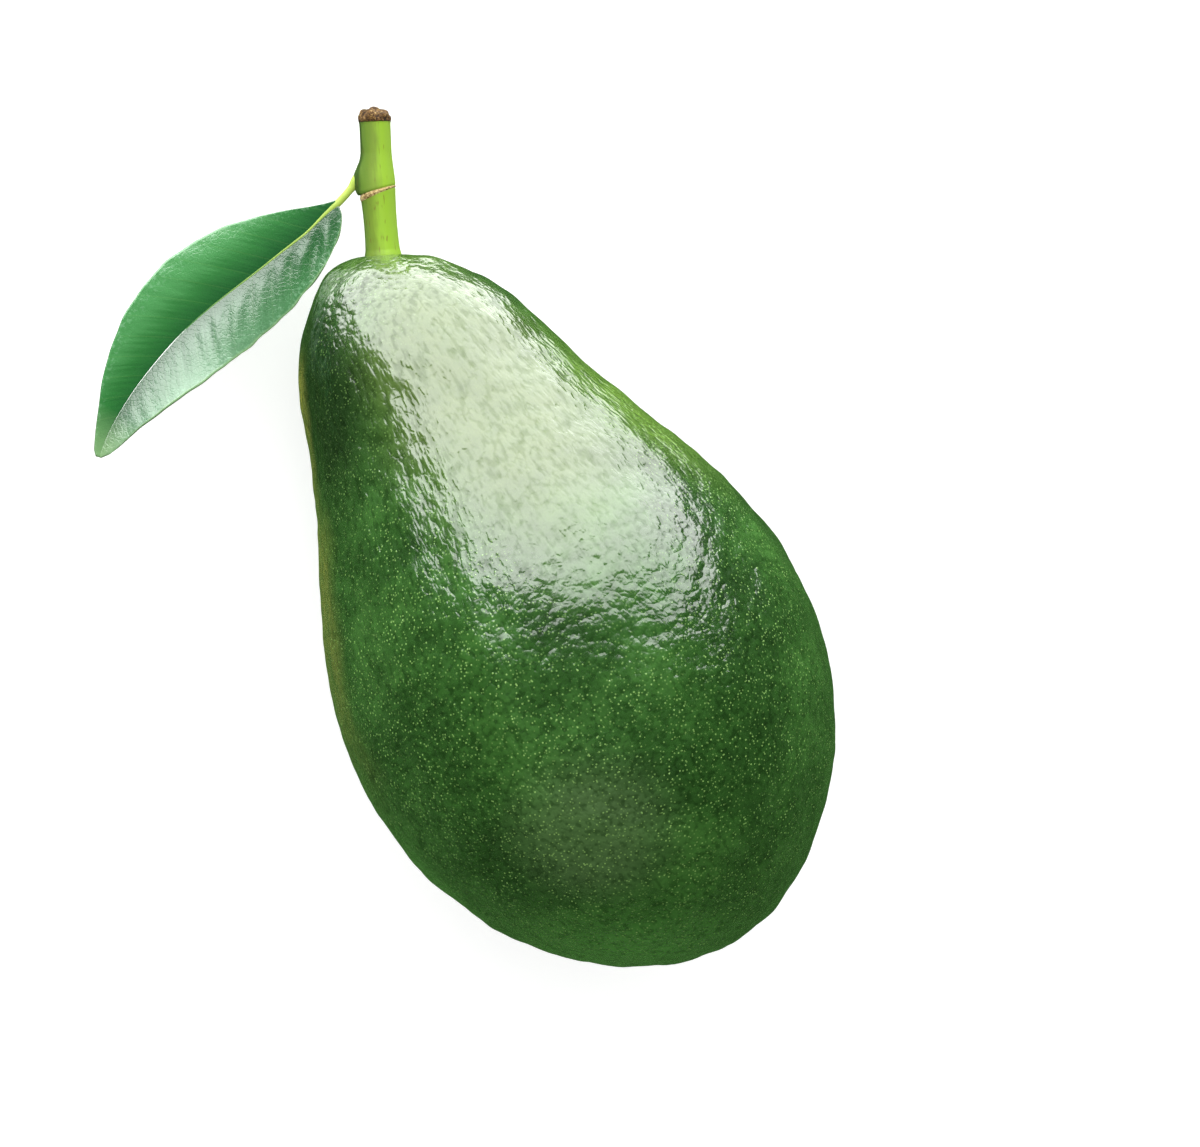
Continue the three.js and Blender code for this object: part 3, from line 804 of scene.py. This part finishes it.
stalk_piece("joint_ring", ring_rings, bend_ring, ring_place)

# %% [markdown]
# ## Leaf: waxy blade with raised halves between its side veins
# The blade is thin and leathery. Its two halves fold up from the midrib, and it swells between
# the side veins, which is why the half that faces the light shows a row of soft ridges. That half
# folds up less at the blade's base. A flat leaf with the ridges painted on would never catch the
# light, so a fine grid is laid along the midrib's curve, and width, fold, swells and wavy edge
# are worked out for each of its points.

# %% Driving dimensions of the leaf
LEAF_BASE = Vector((1.69, 82.95, 0.6))
LEAF_TURN = math.radians(-165.7)
LEAF_LENGTH = 53.0
LEAF_BOW = 4.47
TIP_HOOK = 4.14
MIDRIB_SAG = 0.6
TIP_RISE = 1.5
LEAF_FOLD = math.radians(26)
FOLD_AT_BASE = 0.72
NEAR_LESS = 0.3
FOLD_TO_TIP = 0.45
BLADE_THICKNESS = 0.62
FOLD_SHIFT = 0.95
NEAR_HALF = (9.26, 0.58, 0.81)
FAR_HALF = (9.37, 1.33, 1.39)
VEIN_SPACING = 3.7
VEIN_SWEEP = 0.75
PUCKER = 0.21
EDGE_WAVE = 0.35
EDGE_TURNS = 1.75
PETIOLE_RADIUS = 0.58
LEAF_ROWS = 220
LEAF_COLUMNS = 72

leaf_place = Matrix.Translation(LEAF_BASE) @ Matrix.Rotation(LEAF_TURN, 4, "Z")
midrib_curve = bezier(
    (0, 0, 0), (0.2 * LEAF_LENGTH, -0.372 * LEAF_BOW, -MIDRIB_SAG),
    (0.732 * LEAF_LENGTH, -LEAF_BOW, -MIDRIB_SAG), (LEAF_LENGTH, TIP_HOOK, TIP_RISE), 800,
)
midrib_steps = np.linalg.norm(np.diff(midrib_curve, axis=0), axis=1)
midrib_share = np.concatenate([[0], np.cumsum(midrib_steps)]) / midrib_steps.sum()


def on_midrib(share):
    """Points of the midrib at shares of its length, and the directions across it, towards the near half."""
    at = np.column_stack([np.interp(share, midrib_share, midrib_curve[:, i]) for i in range(3)])
    tangents = np.gradient(midrib_curve, axis=0)
    along = np.column_stack([np.interp(share, midrib_share, tangents[:, i]) for i in range(3)])
    across = np.column_stack([-along[:, 1], along[:, 0], np.zeros(len(share))])
    across /= np.linalg.norm(across, axis=1)[:, None]
    return at + across * fold_shift(share)[:, None], across


def fold_shift(share):
    """How far the fold lies towards the near margin."""
    return FOLD_SHIFT * smooth(share, 0.0, 0.14) * (1 - smooth(share, 0.25, 0.6))


def half_width(half, share):
    """How wide one half is at shares of the length. half is its width and how it rises and falls."""
    width, rise, fall = half
    widest = rise / (rise + fall)
    up = (share / widest) ** rise
    down = ((1 - share) / (1 - widest)) ** fall
    rounding = np.sqrt(np.minimum(1, (1.004 - share) / 0.02))
    blunt = 0.3 * smooth(share, 0.86, 0.97)
    waver = 1 + 0.008 * np.sin(37 * share + width) + 0.006 * np.sin(71 * share)
    return (PETIOLE_RADIUS + (width - PETIOLE_RADIUS) * up * down * waver + blunt) * rounding


def on_blade(share, side):
    """The blade's middle layer, and how far out from the midrib each point is."""
    near = side > 0
    near_width = half_width(NEAR_HALF, share) - fold_shift(share)
    far_width = half_width(FAR_HALF, share) + fold_shift(share)
    out = np.abs(side) * np.where(near, near_width, far_width)
    at, across = on_midrib(share)
    at_base = np.where(near, FOLD_AT_BASE - NEAR_LESS * (1 - smooth(share, 0.15, 0.5)), FOLD_AT_BASE)
    fold = LEAF_FOLD * (at_base + FOLD_TO_TIP * share) * (1 - (1 - share) * out / NEAR_HALF[0])
    vein = (share * LEAF_LENGTH - VEIN_SWEEP * out) / VEIN_SPACING
    vein = vein + 0.28 * np.sin(9 * share + 1) + 0.14 * np.sin(23 * share)
    near_swell = PUCKER * (1 - 0.85 * smooth(share, 0.25, 0.65))
    swell = np.where(near, near_swell, 0.1 * PUCKER) * np.cos(2 * np.pi * vein)
    swell = swell * (0.8 + 0.35 * np.sin(15 * share + 0.6))
    swell = swell * smooth(out, 0.6, 3) * smooth(1 - share, 0.02, 0.2)
    wave = np.sin(2 * np.pi * EDGE_TURNS * share + np.where(near, 0, 2))
    edge = np.where(near, EDGE_WAVE, 0.15 * EDGE_WAVE) * np.abs(side) ** 3 * wave
    points = at + across * (np.sign(side) * out * np.cos(fold))[:, None]
    points[:, 2] += out * np.sin(fold) + smooth(share, 0, 0.1) * (swell + edge)
    return points, np.sign(side) * out


# %% [markdown]
# ## Finish of the leaf
# Colour is darkest beside the midrib and palest along the margin, brushed along the fine side
# veins. The half that faces the light is darkened with painted shade, and from a third of its length
# to the tip a pale, dusty painted sheen lies on it. Pale specks lie by both margins. Each vertex keeps
# how far out from the midrib, how far along and how near to the margin it is, because these finishes
# follow the leaf's curves and not the straight axes.

# %% Green of the leaf
LEAF_DARK = "#175328"
LEAF_GREEN = "#286f32"
LEAF_PALE = "#3f8547"
VEIN_GREEN = "#7fae5a"
# Painted shade for the half that faces the light.
LIT_HALF_PAINTED_SHADE = (0.78, 0.68, 0.8, 1)
BRUSH = (1.8, 0.14, 1)


def leaf_green(tree, out, far_out, along, swept, far_half):
    """Dark by the midrib and pale by the margin, and the brushed mottle that it varies with."""
    brushed = add(tree, "CombineXYZ", {"X": swept, "Y": out})
    thinned = add(tree, "Mapping", {"Vector": brushed, "Scale": BRUSH})
    mottle = add(tree, "TexNoise", {"Vector": thinned, "Scale": 1.0, "Detail": 4, "Roughness": 0.6})
    share = add(tree, "MapRange", {"Value": far_out, "From Max": 10.0})
    shade = add(tree, "Math", {0: mottle, 1: 0.6, 2: share}, operation="MULTIPLY_ADD")
    tipward = add(tree, "MapRange", {"Value": along, "From Min": 12, "From Max": 42, "To Max": 0.17})
    fresher = add(tree, "Math", {0: tipward, 1: far_half}, operation="MULTIPLY")
    greens = add(tree, "ValToRGB", {"Fac": add(tree, "Math", {0: shade, 1: fresher}, operation="ADD")})
    set_stops(greens.color_ramp, ((0.3, LEAF_DARK), (0.72, LEAF_GREEN), (1.0, LEAF_PALE)))
    return greens, mottle


def veined(tree, swept, far_half, greens):
    """Thin pale side veins that sweep forward, and a painted shade, a darker green, on the half in the
    light.
    """
    wave = add(tree, "Math", {0: swept, 1: 2 * math.pi / VEIN_SPACING}, operation="MULTIPLY")
    level = add(tree, "Math", {0: wave}, operation="COSINE")
    line = {"Value": level, "From Min": -1.0, "From Max": -0.985, "To Min": 0.1, "To Max": 0.0}
    veins = {"Factor": add(tree, "MapRange", line), UNDER: greens, OVER: colour(VEIN_GREEN)}
    green = add(tree, "Mix", veins, **COLOURS).outputs[BLEND]
    lit_half = add(tree, "Math", {0: 1.0, 1: far_half}, operation="SUBTRACT")
    painted_shade = {"Factor": lit_half, UNDER: green, OVER: LIT_HALF_PAINTED_SHADE}
    return add(tree, "Mix", painted_shade, blend_type="MULTIPLY", **COLOURS).outputs[BLEND]


# %% Painted sheen and pale margin of the leaf
PAINTED_SHEEN = "#a9c2b2"
SPECK_GREEN = "#8fc09a"
MARGIN_GREEN = "#a3c98f"


def with_painted_sheen(tree, out, along, mottle, green):
    """Painted sheen, a pale dusty green, on the half that faces the light, from a third of its length to the
    tip.
    """
    sheen_reach = add(tree, "MapRange", {"Value": out, "From Min": 0.3, "From Max": 2.5, "To Max": 0.27})
    beyond = add(tree, "MapRange", {"Value": along, "From Min": 12, "From Max": 28})
    spread = add(tree, "Math", {0: sheen_reach, 1: beyond}, operation="MULTIPLY")
    sheen_share = add(tree, "Math", {0: mottle, 1: spread}, operation="MULTIPLY")
    wax = {"Factor": sheen_share, UNDER: green, OVER: colour(PAINTED_SHEEN)}
    return add(tree, "Mix", wax, **COLOURS).outputs[BLEND]


def with_pale_margin(tree, at, out, along, green):
    """Pale specks by both margins, then a pale rim on the near half and a pale tip."""
    side = add(tree, "Attribute", attribute_name="side").outputs["Fac"]
    specks = add(tree, "TexNoise", {"Vector": at, "Scale": 1.8, "Detail": 3, "Roughness": 0.7})
    speck = add(tree, "MapRange", {"Value": specks, "From Min": 0.52, "From Max": 0.62, "To Max": 0.35})
    outer = add(tree, "MapRange", {"Value": side, "From Min": 0.7, "From Max": 0.98})
    dusted = add(tree, "Math", {0: speck, 1: outer}, operation="MULTIPLY")
    dots = {"Factor": dusted, UNDER: green, OVER: colour(SPECK_GREEN)}
    speckled = add(tree, "Mix", dots, **COLOURS).outputs[BLEND]
    rim = add(tree, "MapRange", {"Value": side, "From Min": 0.95, "From Max": 0.99, "To Max": 0.5})
    near_half = add(tree, "MapRange", {"Value": out, "From Min": -0.1, "From Max": 0.1})
    near_rim = add(tree, "Math", {0: rim, 1: near_half}, operation="MULTIPLY")
    last = {"Value": along, "From Min": 0.86 * LEAF_LENGTH, "From Max": LEAF_LENGTH, "To Max": 0.5}
    pale = add(tree, "Math", {0: near_rim, 1: add(tree, "MapRange", last)}, operation="MAXIMUM")
    margin = {"Factor": pale, UNDER: speckled, OVER: colour(MARGIN_GREEN)}
    return add(tree, "Mix", margin, **COLOURS).outputs[BLEND]


# %% Material of the leaf
def leaf_relief(tree, at):
    """Soft unevenness and a net of hair-thin grooves, in millimetres."""
    cells = add(tree, "TexVoronoi", {"Vector": at, "Scale": 1.4}, feature="DISTANCE_TO_EDGE")
    net = add(tree, "MapRange", {"Value": cells, "From Max": 0.12, "To Min": -0.012, "To Max": 0.0})
    soft = add(tree, "TexNoise", {"Vector": at, "Scale": 0.9})
    return add(tree, "Math", {0: soft, 1: 0.05, 2: net}, operation="MULTIPLY_ADD")


def leaf_material():
    """Waxed leathery leaf: the eye sees a firm, dark blade under a broad, soft shine."""
    material, tree = new_material("waxed leathery leaf")
    at = fruit_place(tree)
    out = add(tree, "Attribute", attribute_name="out").outputs["Fac"]
    along = add(tree, "Attribute", attribute_name="along").outputs["Fac"]
    far_out = add(tree, "Math", {0: out}, operation="ABSOLUTE")
    swept = add(tree, "Math", {0: far_out, 1: -VEIN_SWEEP, 2: along}, operation="MULTIPLY_ADD")
    far_half = add(tree, "MapRange", {"Value": out, "From Min": 0.3, "From Max": -0.3})
    greens, mottle = leaf_green(tree, out, far_out, along, swept, far_half)
    green = veined(tree, swept, far_half, greens)
    waxed = with_painted_sheen(tree, out, along, mottle, green)
    bump = add(tree, "Bump", {"Height": leaf_relief(tree, at), "Distance": MM})
    shader = add(
        tree, "BsdfPrincipled",
        {"Base Color": with_pale_margin(tree, at, out, along, waxed), "Roughness": 0.34, "IOR": 1.6,
         "Normal": bump, "Coat Weight": 1.0, "Coat Roughness": 0.2, "Coat IOR": 1.65, "Coat Normal": bump},
    )
    add(tree, "OutputMaterial", {"Surface": shader})
    return material


# %% Blade
SHOWN_THICKNESS = 0.42  # nearer to a real leaf's than the solid's 0.62
CROWDING = 1.15  # over 1, the grid's rows crowd by the fold

bm = bmesh.new()
bmesh.ops.create_grid(bm, x_segments=LEAF_ROWS, y_segments=LEAF_COLUMNS, size=1)
blade_mesh = bpy.data.meshes.new("leaf_blade")
bm.to_mesh(blade_mesh)
bm.free()
flat = coordinates(blade_mesh)
share = np.clip((flat[:, 0] + 1) / 2, 0, 1)
side = np.sign(flat[:, 1]) * np.abs(flat[:, 1]) ** CROWDING
points, out = on_blade(share, side)
points[:, 2] += BLADE_THICKNESS / 2
keep_value(blade_mesh, "out", out)
keep_value(blade_mesh, "along", share * LEAF_LENGTH)
keep_value(blade_mesh, "side", np.abs(side))
set_coordinates(blade_mesh, placed(points, lay @ leaf_place))
blade = new_piece("leaf_blade", blade_mesh, leaf_material(), "leaf")
thick = blade.modifiers.new("thickness", "SOLIDIFY")
thick.thickness = SHOWN_THICKNESS * MM
thick.offset = -1

# %% [markdown]
# ## Midrib and leaf stalk
# One tapered rod carries the blade: it grows out of the stalk with a wide foot, runs under the
# fold and thins out at the tip. A bevelled curve could make it, but a turned rod that is laid
# along the same midrib as the blade keeps its place on the fold exactly. It stands a little proud,
# as a pale line.

# %% Material of the midrib
MIDRIB_YOUNG = "#b0c658"
MIDRIB_GREEN = "#3f7a38"
MIDRIB_PALE = "#ffffff"


def midrib_material():
    """Fleshy midrib: the eye sees a smooth, moist rod, yellow-green at its foot and pale at its end."""
    material, tree = new_material("pale fleshy midrib")
    along = add(tree, "Attribute", attribute_name="along").outputs["Fac"]
    noise = add(tree, "TexNoise", {"Vector": fruit_place(tree), "Scale": 1.2})
    far = add(tree, "MapRange", {"Value": along, "From Min": -2.0, "From Max": 0.7 * LEAF_LENGTH})
    shade = add(tree, "Math", {0: noise, 1: 0.2, 2: far}, operation="MULTIPLY_ADD")
    greens = add(tree, "ValToRGB", {"Fac": shade})
    set_stops(greens.color_ramp, ((0.05, MIDRIB_YOUNG), (0.9, MIDRIB_GREEN), (1.0, MIDRIB_PALE)))
    shader = add(tree, "BsdfPrincipled", {"Base Color": greens, "Roughness": 0.4, "IOR": 1.45})
    add(tree, "OutputMaterial", {"Surface": shader})
    return material


# %% Rod
PETIOLE_LENGTH = 6.8
ROD_ROWS = 260
ROD_SIDES = 20
petiole_curve = np.vstack([(-PETIOLE_LENGTH, -0.9, 0.7), (-3.2, -0.1, 0.3), (0, 0, 0)])


def on_rod(length):
    """Points along the leaf stalk and midrib, by the distance from the blade's base."""
    t = np.clip(1 + length / PETIOLE_LENGTH, 0, 1)[:, None]
    before = (1 - t) ** 2 * petiole_curve[0] + 2 * (1 - t) * t * petiole_curve[1] + t**2 * petiole_curve[2]
    within, _ = on_midrib(np.clip(length / LEAF_LENGTH, 0, 1))
    return np.where(length[:, None] < 0, before, within)


def rod_radius(length):
    """Thin under the blade, thicker as the leaf stalk, with a foot where it leaves the stalk."""
    blade_share = np.clip(length / LEAF_LENGTH, 0, 1)
    thin = 0.1 + 0.14 * (1 - blade_share) + (PETIOLE_RADIUS - 0.24) * (1 - smooth(length, 0, 5))
    foot = 0.4 * bell(length, -4.9, 1.1)
    return np.where(length < 0, PETIOLE_RADIUS, thin) + foot


lengths = np.linspace(-PETIOLE_LENGTH, 0.985 * LEAF_LENGTH, ROD_ROWS)
rows = [(0, lengths[0]), *[(1, h) for h in lengths], (0, lengths[-1])]
bm = turned(rows, ROD_SIDES)
rod_mesh = bpy.data.meshes.new("midrib")
bm.to_mesh(rod_mesh)
bm.free()
straight = coordinates(rod_mesh)
length = straight[:, 1]
centre = on_rod(length)
ahead = on_rod(length + 0.05) - on_rod(length - 0.05)
ahead /= np.linalg.norm(ahead, axis=1)[:, None]
across = np.column_stack([-ahead[:, 1], ahead[:, 0], np.zeros(len(ahead))])
across /= np.linalg.norm(across, axis=1)[:, None]
up = np.cross(ahead, across)
radius = rod_radius(length)
blade_share = np.clip(length / LEAF_LENGTH, 0, 1)
proud = BLADE_THICKNESS / 2 + 0.15 * (1 - blade_share) ** 1.5
lift = smooth(length, -0.5, 2.5) * (proud - radius)
points = centre + up * lift[:, None]
points += across * (straight[:, 0] * radius)[:, None] + up * (straight[:, 2] * radius)[:, None]
keep_value(rod_mesh, "along", length)
set_coordinates(rod_mesh, placed(points, lay @ leaf_place))
new_piece("midrib", rod_mesh, midrib_material())

# %% [markdown]
# ## The camera
# The photograph looks square onto the fruit's axis, which leans 28 degrees in the picture. The
# fruit lies here, so the camera looks down on it, turned by the same angle. A long lens from half
# a metre keeps the near and the far parts in proportion, as in the photograph.

# %% Place the camera
PHOTO_WIDTH_MM = 184.4
CAMERA_DISTANCE = 512.0
AXIS_LEAN = math.radians(28.295)
SILHOUETTE_CENTRE = Vector((0, 9.9, 0))
RIGHT_SHIFT = 7.2
UP_SHIFT = 8.41

image_right = Vector((math.cos(AXIS_LEAN), -math.sin(AXIS_LEAN), 0))
image_up = Vector((math.sin(AXIS_LEAN), math.cos(AXIS_LEAN), 0))
target = SILHOUETTE_CENTRE + RIGHT_SHIFT * image_right + UP_SHIFT * image_up
eye = target + Vector((0, 0, CAMERA_DISTANCE))

camera_data = bpy.data.cameras.new("camera")
camera_data.sensor_width = 36
camera_data.sensor_fit = "HORIZONTAL"
camera_data.lens = 36 * CAMERA_DISTANCE / PHOTO_WIDTH_MM
camera = bpy.data.objects.new("camera", camera_data)
bpy.context.scene.collection.objects.link(camera)
print("lens", round(camera_data.lens), "mm, from", CAMERA_DISTANCE, "mm")


def in_frame(direction):
    """A direction of the fruit's own frame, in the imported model's frame."""
    return (tilt.to_3x3() @ direction).normalized()


def facing(place, right, up, out):
    """The matrix of an object that looks along -out with its own X along right."""
    matrix = Matrix((in_frame(right), in_frame(up), in_frame(out))).transposed().to_4x4()
    matrix.translation = place
    return matrix


camera.matrix_world = facing(lay @ eye, image_right, image_up, Vector((0, 0, 1)))
bpy.context.scene.camera = camera

# %% [markdown]
# ## Floor and light
# The floor is pale and glows a little, as a lit table does, so that it stays near white without
# a glare. Light could come from a ring of lamps, but the photograph shows one long highlight on
# the neck. It is the reflection of one very wide soft box beside the stalk end. A soft light from
# above only brightens.

# %% Floor
FLOOR_GLOW = 0.5

floor_mesh = bpy.data.meshes.new("floor")
bm = bmesh.new()
bmesh.ops.create_grid(bm, x_segments=1, y_segments=1, size=3)
bm.to_mesh(floor_mesh)
bm.free()
floor = bpy.data.objects.new("floor", floor_mesh)
bpy.context.scene.collection.objects.link(floor)
# Matt white sheet: the eye sees no reflection in it, only an even, pale ground.
floor_material, floor_tree = new_material("pale floor")
floor_shader = add(
    floor_tree, "BsdfPrincipled",
    {"Base Color": colour("#e8e8e8"), "Roughness": 0.9, "Emission Color": (1, 1, 1, 1),
     "Emission Strength": FLOOR_GLOW},
)
add(floor_tree, "OutputMaterial", {"Surface": floor_shader})
floor_mesh.materials.append(floor_material)
floor.visible_glossy = False
floor.visible_shadow = False

# %% Lights
SOFT_BOX_SIDE = (-0.035, 0.975, 0.22)
SOFT_BOX_RIGHT = (0.955, 0.062, -0.29)
SOFT_BOX_WIDTH, SOFT_BOX_HEIGHT = 1.46, 1.26
LIT_MIDDLE = Vector((0, 20, 0))


def photo_direction(right, up, near):
    """A direction given as the photograph sees it: to the right, up, and towards the camera."""
    return right * image_right + up * image_up + near * Vector((0, 0, 1))


def soft_box(name, direction, right, distance, width, height, power):
    """A rectangular light that faces the fruit. Lengths are in metres, and power is in watts."""
    data = bpy.data.lights.new(name, "AREA")
    data.shape = "RECTANGLE"
    data.size = width
    data.size_y = height
    data.energy = power
    light = bpy.data.objects.new(name, data)
    bpy.context.scene.collection.objects.link(light)
    out = direction.normalized()
    across = (right - right.dot(out) * out).normalized()
    middle = lay @ LIT_MIDDLE
    light.matrix_world = facing(middle + in_frame(out) * distance, across, out.cross(across), out)
    light.visible_camera = False
    print(name, "of", power, "W,", distance, "m away")
    return light


soft_box(
    "wide soft box", photo_direction(*SOFT_BOX_SIDE), photo_direction(*SOFT_BOX_RIGHT), 0.6,
    SOFT_BOX_WIDTH, SOFT_BOX_HEIGHT, 24,
)
above = soft_box("overhead", photo_direction(0, 0, 1), photo_direction(1, 0, 0), 1.6, 2.4, 2.4, 30)
above.visible_glossy = False

# %% The room around
# What the peel mirrors is a dim green, what the camera sees is near white, and the rest is grey.
ROOM_GREY = "#3a3f38"
MIRRORED_GREEN = "#3d6630"
BACKDROP = "#f2f2f2"

world = bpy.data.worlds.new("studio")
world.use_nodes = True
room = world.node_tree
room.nodes.clear()
path = add(room, "LightPath")
glossy = {"Factor": path.outputs["Is Glossy Ray"], UNDER: colour(ROOM_GREY), OVER: colour(MIRRORED_GREEN)}
mirrored = add(room, "Mix", glossy, **COLOURS).outputs[BLEND]
seen = {"Factor": path.outputs["Is Camera Ray"], UNDER: mirrored, OVER: colour(BACKDROP)}
glow = add(room, "Mix", seen, **COLOURS).outputs[BLEND]
sky = add(room, "Background", {"Color": glow, "Strength": 1.0})
add(room, "OutputWorld", {"Surface": sky})
bpy.context.scene.world = world
bpy.context.scene.view_settings.view_transform = "Standard"
